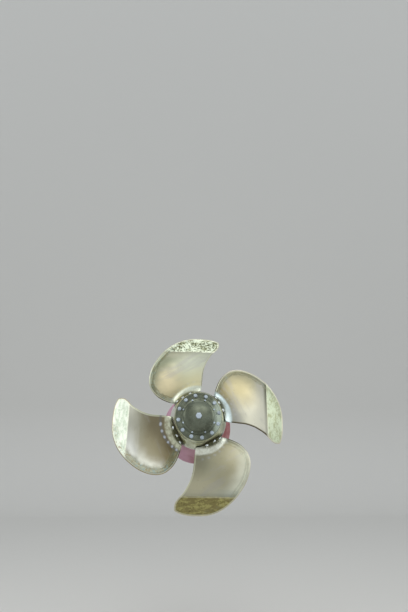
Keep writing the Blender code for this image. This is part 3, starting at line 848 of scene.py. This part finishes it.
def drawn_in(points, share):
    """Draw points in to the palm's circle along their ball, by this share of the way."""
    beside = np.hypot(points[:, 0], points[:, 1])
    shrink = np.minimum(1.0, (PALM_RADIUS - PALM_MARGIN) / beside)
    shrink = 1 - share * (1 - shrink)
    flat = points[:, :2] * shrink[:, None]
    up = np.sqrt((points**2).sum(1) - (flat**2).sum(1))
    return np.column_stack([flat, up])


def blade_loops():
    """Loops from inside the palm, up the root fillet and out to the tip."""
    loops = [drawn_in(loop_points(radius, 1.0), 1.0) for radius in (ROOT_RADIUS, BALL_RADIUS - FOOT_SINK)]
    for step in range(FILLET_STEPS):
        turn = FILLET_START + (pi / 2 - FILLET_START) * step / FILLET_STEPS
        height = ROOT_FILLET * (1 - cos(turn))
        points = loop_points(BALL_RADIUS + height, 1 - sin(turn))
        loops.append(drawn_in(points, max(0.0, 1 - height / ROOT_OVERHANG_GAP)))
    start = BALL_RADIUS + ROOT_FILLET
    for step in range(SPAN_STEPS + 1):
        share = step / SPAN_STEPS
        loops.append(loop_points(start + (TIP_RADIUS - start) * (1 - (1 - share) ** TIP_CROWDING), 0.0))
    return loops


def beyond_crease(x, z):
    """How far a point lies beyond the straight crease of the tip."""
    return x * sin(TIP_SWEEP) + z * cos(TIP_SWEEP) - CREASE_DISTANCE


def bend_tip(shape):
    """Fold the tip forward about its crease, with a small radius."""
    outward = Vector((sin(TIP_SWEEP), 0.0, cos(TIP_SWEEP)))
    for offset in (-CREASE_SOFTNESS, 0.0, CREASE_SOFTNESS):
        everything = shape.verts[:] + shape.edges[:] + shape.faces[:]
        line = outward * (CREASE_DISTANCE + offset)
        bmesh.ops.bisect_plane(shape, geom=everything, plane_co=line, plane_no=outward, dist=WELD_DISTANCE)
    for vert in shape.verts:
        beyond = beyond_crease(vert.co.x, vert.co.z)
        soft = min(max(beyond + CREASE_SOFTNESS, 0.0), 2 * CREASE_SOFTNESS) ** 2 / (4 * CREASE_SOFTNESS)
        vert.co.y += max(beyond, soft) * tan(TIP_BEND)


def blade_body_mesh():
    shape = bmesh.new()
    rows = [[shape.verts.new(point) for point in loop] for loop in blade_loops()]
    add_skin(shape, rows, False)
    count = len(rows[0])
    for row in (rows[0], rows[-1]):
        for i in range(CHORD_STEPS):
            shape.faces.new((row[i], row[i + 1], row[count - 2 - i], row[count - 1 - i]))
    bmesh.ops.triangulate(shape, faces=shape.faces)
    bend_tip(shape)
    return mesh_of(shape, "blade_body")


def palm_mesh():
    """Round foot of a blade, crowned to the hub's ball, with a broken edge."""
    inner = asin((PALM_RADIUS - PALM_EDGE) / BALL_RADIUS)
    profile = [(0.0, PORT_FLOOR_DISTANCE), (PALM_RADIUS, PORT_FLOOR_DISTANCE)]
    profile.append((PALM_RADIUS, PALM_RIM_HEIGHT - PALM_EDGE))
    for step in range(CROWN_STEPS):
        angle = inner * (1 - step / CROWN_STEPS)
        profile.append((BALL_RADIUS * sin(angle), BALL_RADIUS * cos(angle)))
    profile.append((0.0, BALL_RADIUS))
    return turned_mesh("palm", profile, PALM_STEPS)


def bolt_places():
    """Bolt centres around the spindle, in two groups beside the root section."""
    root_pitch = section_pitch(BALL_RADIUS)
    for side in (1, -1):
        for number in range(PALM_BOLTS_EACH_SIDE):
            offset = (number - (PALM_BOLTS_EACH_SIDE - 1) / 2) * PALM_BOLT_SPREAD
            angle = side * pi / 2 - root_pitch + offset
            yield PALM_BOLT_CIRCLE * cos(angle), PALM_BOLT_CIRCLE * sin(angle)


def pockets_mesh():
    shape = bmesh.new()
    top = BALL_RADIUS + BOLT_POCKET_RADIUS
    low = BOLT_SEAT_DISTANCE
    profile = [(0.0, low), (BOLT_POCKET_RADIUS, low), (BOLT_POCKET_RADIUS, top), (0.0, top)]
    for x, y in bolt_places():
        add_turned(shape, profile, POCKET_STEPS, Matrix.Translation((x, y, 0.0)))
    return mesh_of(shape, "pockets")


def edge_distance(x, z, column):
    """Distance of points from the leading or the trailing edge, seen along the shaft."""
    place = np.linspace(0.0, 1.0, EDGE_SAMPLES)
    radius = ROOT_RADIUS + (TIP_RADIUS - ROOT_RADIUS) * place
    angle = np.radians(station(column, place))
    nearest = np.full(len(x), TIP_RADIUS)
    for edge_x, edge_z in zip(-radius * np.sin(angle), radius * np.cos(angle)):
        nearest = np.minimum(nearest, np.hypot(x - edge_x, z - edge_z))
    return nearest


def mark_blade(mesh):
    """Store, at every point, its distances from edges, crease and palm for the finish."""
    points = np.empty(len(mesh.vertices) * 3, np.float32)
    mesh.vertices.foreach_get("co", points)
    points = points.reshape(-1, 3).astype(float)
    x, y, z = points.T
    radius = np.hypot(x, z)
    place = np.clip(span_place(radius), 0.0, 1.0)
    angle = np.arctan2(-x, z)
    leading, trailing = np.radians(station(1, place)), np.radians(station(2, place))
    nose, tail = edge_distance(x, z, 1), edge_distance(x, z, 2)
    rim = np.minimum(np.minimum(nose, tail), np.clip(TIP_RADIUS - radius, 0.0, 1.0))
    from_crossing = np.linalg.norm(points, axis=1)
    beside = np.hypot(x, y)
    in_pocket = (from_crossing < BALL_RADIUS - FOOT_SINK) & (beside < PALM_RADIUS - PALM_EDGE)
    values = {
        "reach": radius / TIP_RADIUS,
        "chord": np.clip((angle - trailing) / (leading - trailing), 0.0, 1.0),
        "beyond_crease": beyond_crease(x, z),
        "along_crease": x * cos(TIP_SWEEP) - z * sin(TIP_SWEEP),
        "nose_distance": nose,
        "tail_distance": tail,
        "rim_distance": rim,
        "height_on_palm": np.maximum(from_crossing - BALL_RADIUS, 0.0),
        "from_palm_rim": np.abs(PALM_RADIUS - beside),
        "in_pocket": in_pocket,
    }
    for name, value in values.items():
        layer = mesh.attributes.new(name, "FLOAT", "POINT")
        layer.data.foreach_set("value", value.astype(np.float32))
    layer = mesh.attributes.new("spindle_place", "FLOAT_VECTOR", "POINT")
    layer.data.foreach_set("vector", points.astype(np.float32).ravel())


def blade_mesh():
    """Blade and palm cast in one, with sunk bolt pockets."""
    blade = piece("blade_draft", blade_body_mesh(), FINISH["hub"])
    foot = piece("palm_draft", palm_mesh(), FINISH["hub"])
    holes = piece("pocket_draft", pockets_mesh(), FINISH["hub"])
    mesh = combined(blade, SHARP_ON_BLADE, (("UNION", foot), ("DIFFERENCE", holes)))
    bpy.data.objects.remove(blade, do_unlink=True)
    mark_blade(mesh)
    return mesh


def add_hex_bolt(shape, place, number, across, height, washer):
    """Hexagon head with a chamfered crown, on a washer, its foot at the place's origin. Each number has a
    turn of its own, so that no two heads stand alike."""
    place = place @ Matrix.Rotation(number * BOLT_TURN, 4, "Z")
    corner = across / sqrt(3.0)
    if washer:
        rim, lip = corner * WASHER_SIZE, washer * WASHER_LIP
        profile = [(0.0, 0.0), (rim, 0.0), (rim, washer - lip), (rim - lip, washer), (0.0, washer)]
        add_turned(shape, profile, WASHER_STEPS, place)
    chamfer = corner * HEAD_CHAMFER
    low = washer + CONTACT_GAP
    crown = low + height
    shoulder = crown - chamfer * CHAMFER_HEIGHT
    profile = [(0.0, low), (corner, low), (corner, shoulder), (corner - chamfer, crown), (0.0, crown)]
    add_turned(shape, profile, HEX_SIDES, place)


def make_blades():
    mesh = blade_mesh()
    for number in BLADES:
        place = spindle_frame(number)
        home = (f"blade_{number}_body", "blade_bronze")
        placed = mesh.copy()
        placed.transform(place)
        blade = piece(f"blade_{number}_casting", placed, blade_bronze(number))
        belongs(blade, home, f"blade_{number}")
        shape = bmesh.new()
        for index, (x, y) in enumerate(bolt_places()):
            seat = Matrix.Translation((x, y, BOLT_SEAT_DISTANCE + CONTACT_GAP))
            add_hex_bolt(shape, place @ seat, index, *PALM_BOLT)
        group_piece(f"blade_{number}_bolts", shape, "bolt", home)


# Hub


def chamfered_start(radius, low):
    return [(0.0, low), (radius - HUB_CHAMFER, low), (radius, low + HUB_CHAMFER)]


def chamfered_end(radius, high):
    return [(radius, high - HUB_CHAMFER), (radius - HUB_CHAMFER, high), (0.0, high)]


def ball_outline(low, high, end_radius):
    """Outline of the hub body: a ball between two short turned ends."""
    side = asin(end_radius / BALL_RADIUS)
    points = chamfered_start(end_radius, low)
    for step in range(BALL_STEPS + 1):
        angle = pi - side - (pi - 2 * side) * step / BALL_STEPS
        points.append((BALL_RADIUS * sin(angle), BLADE_Y + BALL_RADIUS * cos(angle)))
    return points + chamfered_end(end_radius, high)


def port_outline():
    """Cutter of one port: a straight bore that opens in a small lip at the ball's surface."""
    radius = PALM_RADIUS + PORT_CLEARANCE
    lip = radius + PORT_LIP
    height = sqrt(BALL_RADIUS**2 - lip**2)
    floor = PORT_FLOOR_DISTANCE - CONTACT_GAP
    return [
        (0.0, floor), (radius, floor), (radius, height - PORT_LIP),
        (lip, height), (lip, PORT_CUT_TOP), (0.0, PORT_CUT_TOP),
    ]


def mark_ports(place, mesh):
    """Store, at every point of the ball, its distance from the nearest port's rim, for the painted shade
    around the ports.
    """
    axes = [spindle_frame(number).inverted() @ place for number in BLADES]
    layer = mesh.attributes.new("from_ports", "FLOAT", "POINT")
    for vert, value in zip(mesh.vertices, layer.data):
        beside = min((axis @ vert.co).xy.length for axis in axes)
        value.value = max(beside - PALM_RADIUS, 0.0)


def make_hub_body():
    low, high, _ = node_span("hub_body")
    end_radius = node_span("hub_cylinder")[2]
    outline = ball_outline(low, high, end_radius)
    body = piece("hub_ball", turned_mesh("hub_ball", outline, ROUND_STEPS), FINISH["ball"], SHAFT_LINE)
    cuts = []
    for number in BLADES:
        port = turned_mesh("port_draft", port_outline(), PALM_STEPS)
        port = piece(f"port_draft_{number}", port, FINISH["ball"], spindle_frame(number))
        cuts.append(("DIFFERENCE", port))
    mesh = combined(body, SHARP_EDGE, cuts)
    mark_ports(body.matrix_world, mesh)
    belongs(body, HUB, "hub_body")


def make_port_seals():
    """Dark rubber ring in the gap around each palm."""
    inner, outer = PALM_RADIUS + 2 * CONTACT_GAP, PALM_RADIUS + PORT_CLEARANCE - CONTACT_GAP
    top = PALM_RIM_HEIGHT - PORT_SEAL_DEPTH
    profile = ring_profile(inner, outer, top - PORT_SEAL_THICKNESS, top)
    for number in BLADES:
        shape = bmesh.new()
        add_turned(shape, profile, PALM_STEPS, spindle_frame(number))
        group_piece(f"port_seal_{number}", shape, "rubber", HUB)


def make_hub_ends():
    low, high, radius = node_span("hub_cylinder")
    middle = (low + high) / 2
    profile = chamfered_start(radius, low)
    profile.extend([(radius, middle - BARREL_GROOVE), (radius - BARREL_GROOVE, middle)])
    profile.extend([(radius, middle + BARREL_GROOVE), *chamfered_end(radius, high)])
    turned_piece("hub_barrel", profile, "hub", HUB, "hub_cylinder")
    low, high, radius = node_span("hub_end_cover")
    aft = radius - COVER_TAPER
    rim = aft - COVER_CHAMFER
    inner, outer = node_span("hub_cap")[2] + COVER_INNER_LAND, rim - COVER_OUTER_LAND
    sunk = low + COVER_RECESS
    profile = [
        (0.0, low), (inner, low), (inner + COVER_RECESS, sunk), (outer - COVER_RECESS, sunk), (outer, low),
        (rim, low), (aft, low + COVER_CHAMFER), *chamfered_end(radius, high),
    ]
    turned_piece("hub_cover", profile, "cover", HUB, "hub_end_cover")


def make_cap():
    low, high, radius = node_span("hub_cap")
    rim = high - CAP_RIM
    profile = [(0.0, high), (radius, high), (radius, rim + CAP_EDGE), (radius - CAP_EDGE, rim)]
    for step in range(1, DOME_STEPS):
        angle = pi / 2 * step / DOME_STEPS
        profile.append(((radius - CAP_LEDGE) * cos(angle), rim - (rim - low) * sin(angle)))
    profile.append((0.0, low))
    turned_piece("hub_dome", profile, "cover", HUB, "hub_cap")
    low, high, radius = node_span("cap_plug")
    profile = [
        (0.0, low), (radius - PLUG_CROWN, low), (radius, low + PLUG_CROWN), (radius, high), (0.0, high),
    ]
    turned_piece("hub_plug", profile, "dull_bolt", HUB, "cap_plug", HEX_SIDES)


def ring_of_bolts(name, circle, face_y, aft, finish, home):
    """Hexagon bolts around the shaft on a flat face."""
    count, start, *bolt = BOLT_RINGS[name]
    shape = bmesh.new()
    turn = Matrix.Rotation(pi if aft else 0.0, 4, "X")
    for number in range(count):
        angle = radians(start) + tau * number / count
        seat = Matrix.Translation((circle * cos(angle), circle * sin(angle), face_y)) @ turn
        add_hex_bolt(shape, seat, number, *bolt)
    group_piece(name, shape, finish, home, SHAFT_LINE)


def make_hub_bolts():
    face = node_span("hub_end_cover")[0] + COVER_RECESS - CONTACT_GAP
    ring_of_bolts("cover_bolts", COVER_BOLT_CIRCLE, face, True, "dull_bolt", HUB)
    _, high, radius = node_span("hub_cap")
    circle = radius - CAP_LEDGE / 2 - CONTACT_GAP
    ring_of_bolts("cap_bolts", circle, high - CAP_RIM, True, "dull_bolt", HUB)


# Shaft, seal, guard and boss


def make_shaft():
    low, high, flange = node_span("tail_shaft")
    liner_radius = node_span("shaft_liner")[2]
    forward = low + SHAFT_FLANGE_THICKNESS
    root = SHAFT_FILLET / 3
    profile = [
        (0.0, low), (flange, low), (flange, forward), (liner_radius, forward),
        (SHAFT_RADIUS + root, forward + root), (SHAFT_RADIUS, forward + SHAFT_FILLET),
        (SHAFT_RADIUS, high - SHAFT_END_CHAMFER), (SHAFT_RADIUS - SHAFT_END_CHAMFER, high),
        (SHAFT_CENTRE_HOLE, high), (0.0, high - SHAFT_CENTRE_HOLE),
    ]
    turned_piece("tail_shaft_forging", profile, "steel", SHAFT, "tail_shaft")
    turned_ring("liner_sleeve", SHAFT_RADIUS + CONTACT_GAP, "steel", SHAFT, "shaft_liner")
    ring_of_bolts("flange_bolts", FLANGE_BOLT_CIRCLE, forward, False, "bolt", SHAFT)


def make_seal():
    for node in ("seal_flange_ring", "seal_middle_ring", "seal_cover_ring"):
        turned_ring(node + "_turned", SEAL_BORE, "seal", SEAL, node, SEAL_CHAMFER)
    low, _, outer = node_span("seal_cover_ring")
    ring_of_bolts("seal_bolts", (outer + SEAL_BORE) / 2, low, True, "bolt", SEAL)


def make_stern_tube():
    bore = node_span("stern_tube")[2] - TUBE_WALL
    turned_ring("stern_tube_turned", bore, "iron", ("stern", "tube_iron"), "stern_tube")
    home = ("stern", "bearing_metal")
    turned_ring("bearing_bush", BEARING_BORE, "bearing", home, "stern_tube_bearing")


def add_bead(shape, radius, z):
    """A weld bead around the shaft line, with the ripples of its passes."""
    steps = WELD_PASSES * STEPS_IN_PASS
    rows = []
    for step in range(steps):
        angle = tau * step / steps
        ripple = WELD_RIPPLE * sin(tau * step / STEPS_IN_PASS)
        swell = WELD_THICKNESS * (1 + ripple + WELD_WANDER * sin(step * WELD_WANDER_TURN))
        row = []
        for side in range(WELD_SIDES):
            turn = tau * side / WELD_SIDES
            r = radius + swell * cos(turn)
            up = z + swell * sin(turn)
            row.append(shape.verts.new((r * cos(angle), r * sin(angle), up)))
        rows.append(row)
    add_skin(shape, rows, True)


def make_guard():
    low, high, outer = node_span("rope_guard_upper")
    profile = ring_profile(outer - GUARD_THICKNESS, outer, low, high)
    split = CONTACT_GAP / outer
    half = pi - split
    for node, start in (("rope_guard_lower", 0.0), ("rope_guard_upper", pi)):
        turned_piece(node + "_shell", profile, "guard", PAINTED, node,
                     ROUND_STEPS // 2, start=start + split / 2, sweep=half)
    corner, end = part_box("guard_strap_right")
    strap = ring_profile(outer + CONTACT_GAP, end.x, corner.y, end.y)
    for node, middle in (("guard_strap_right", 0.0), ("guard_strap_left", pi)):
        turned_piece(node + "_plate", strap, "guard", PAINTED, node,
                     STRAP_STEPS, start=middle - STRAP_SPREAD / 2, sweep=STRAP_SPREAD)
    shape = bmesh.new()
    add_bead(shape, outer, high - CONTACT_GAP)
    group_piece("guard_weld", shape, "guard", PAINTED, SHAFT_LINE)


def on_flare(share, low, aft, forward):
    """Radius and place along the shaft on the flare, from its aft end at 0 to the flat face at 1."""
    return aft + (forward - aft) * share**BOSS_FLARE_POWER, (low + BOSS_EDGE) * (1 - share)


def boss_outline(low, aft, forward):
    """The boss widens forward from its aft radius in a smooth flare to its flat face."""
    corner = quarter_arc(aft, low, BOSS_EDGE, CORNER_STEPS)
    flare = [on_flare(step / FLARE_STEPS, low, aft, forward) for step in range(1, FLARE_STEPS + 1)]
    return [(BOSS_BORE_RADIUS, low), *corner, *flare, (BOSS_BORE_RADIUS, 0.0)]


def make_boss():
    low, _, forward = node_span("stern_boss")
    aft = node_span("rope_guard_upper")[2] + BOSS_SHOULDER
    turned_piece("boss_casting", boss_outline(low, aft, forward), "paint", PAINTED, "stern_boss")
    shape = bmesh.new()
    for share in BOSS_SEAMS:
        radius, along = on_flare(share, low, aft, forward)
        add_bead(shape, radius - WELD_SINK, along)
    group_piece("boss_welds", shape, "paint", PAINTED, SHAFT_LINE)


# Stage, light and camera

FLOOR_BELOW_SHAFT = 2.90
FLOOR_HALF_WIDTH = 60.0
FLOOR_NEAR_Y = -40.0
BACKDROP_Y = 20.0
BACKDROP_CURVE = 6.0
BACKDROP_TOP = 75.0
CURVE_STEPS = 16


def make_floor():
    """Pale studio floor far below the shaft, rising into a tall backdrop."""
    ground = SHAFT_Z - FLOOR_BELOW_SHAFT
    curve = quarter_arc(BACKDROP_Y, ground, BACKDROP_CURVE, CURVE_STEPS)
    rows = [(FLOOR_NEAR_Y, ground), *curve, (BACKDROP_Y, BACKDROP_TOP)]
    shape = bmesh.new()
    lines = [[shape.verts.new((x, y, z)) for x in (-FLOOR_HALF_WIDTH, FLOOR_HALF_WIDTH)] for y, z in rows]
    for here, there in zip(lines, lines[1:]):
        shape.faces.new((here[0], here[1], there[1], there[0]))
    paper = Shader("studio_paper").finish(Base_Color=STUDIO_PAPER, Roughness=0.9)
    floor = piece("studio_floor", mesh_of(shape, "studio_floor"), paper)


# Even light from all around, and the grey that the camera sees past the backdrop's edge
SKY_COLOUR = (0.86, 0.90, 0.92, 1.0)
SKY_STRENGTH = 0.85
SEEN_COLOUR = (0.46, 0.47, 0.465, 1.0)

# Large lamps: place, size, power and tint
LAMPS = {
    "left_sky": ((-8.0, -5.0, 3.0), (6.0, 5.0), 150.0, (1.0, 1.0, 0.98)),
    "right_sky": ((8.0, -4.6, 3.2), (6.0, 5.0), 110.0, (1.0, 0.99, 0.94)),
    "behind_camera": ((0.5, -14.0, 5.0), (9.0, 4.0), 150.0, (1.0, 0.97, 0.90)),
    "overhead": ((0.0, -3.0, 8.0), (5.0, 4.0), 90.0, (1.0, 1.0, 1.0)),
}


def make_lights():
    """Even light from all around, with large lamps on both sides, behind the camera and overhead."""
    world = bpy.data.worlds.new("studio")
    world.use_nodes = True
    tree = world.node_tree
    sky = tree.nodes["Background"]
    sky.inputs["Color"].default_value = SKY_COLOUR
    sky.inputs["Strength"].default_value = SKY_STRENGTH
    seen = tree.nodes.new("ShaderNodeBackground")
    seen.inputs["Color"].default_value = SEEN_COLOUR
    path = tree.nodes.new("ShaderNodeLightPath")
    both = tree.nodes.new("ShaderNodeMixShader")
    for index, source in enumerate((path.outputs["Is Camera Ray"], sky.outputs[0], seen.outputs[0])):
        tree.links.new(source, both.inputs[index])
    tree.links.new(both.outputs[0], tree.nodes["World Output"].inputs["Surface"])
    bpy.context.scene.world = world
    for name, (place, size, power, tint) in LAMPS.items():
        lamp = bpy.data.lights.new(name, "AREA")
        lamp.shape = "RECTANGLE"
        lamp.size, lamp.size_y = size
        lamp.energy, lamp.color = power, tint
        made = linked(name, lamp)
        made.location = place
        made.rotation_euler = (CENTRE - Vector(place)).to_track_quat("-Z", "Y").to_euler()


# Camera of the photograph: a wide lens low down, pitched up at the propeller
LENS = 24.0
SENSOR = 36.0
CAMERA_DISTANCE = 6.318
CAMERA_BELOW_SHAFT = 0.658
CAMERA_ASIDE = -0.102
CAMERA_PITCH = radians(21.58)
CAMERA_YAW = radians(1.724)
SIGHT_RANGE = 300.0


def make_camera():
    data = bpy.data.cameras.new("camera")
    data.lens = LENS
    data.sensor_width = SENSOR
    data.clip_end = SIGHT_RANGE
    camera = linked("camera", data)
    camera.location = CENTRE + Vector((CAMERA_ASIDE, -CAMERA_DISTANCE, -CAMERA_BELOW_SHAFT))
    camera.rotation_euler = (pi / 2 + CAMERA_PITCH, 0.0, -CAMERA_YAW)
    bpy.context.scene.camera = camera


def main():
    make_camera()
    make_blades()
    make_hub_body()
    make_port_seals()
    make_hub_ends()
    make_cap()
    make_hub_bolts()
    make_shaft()
    make_seal()
    make_stern_tube()
    make_guard()
    make_boss()
    make_floor()
    make_lights()
    bpy.context.scene.view_settings.view_transform = "Standard"


main()
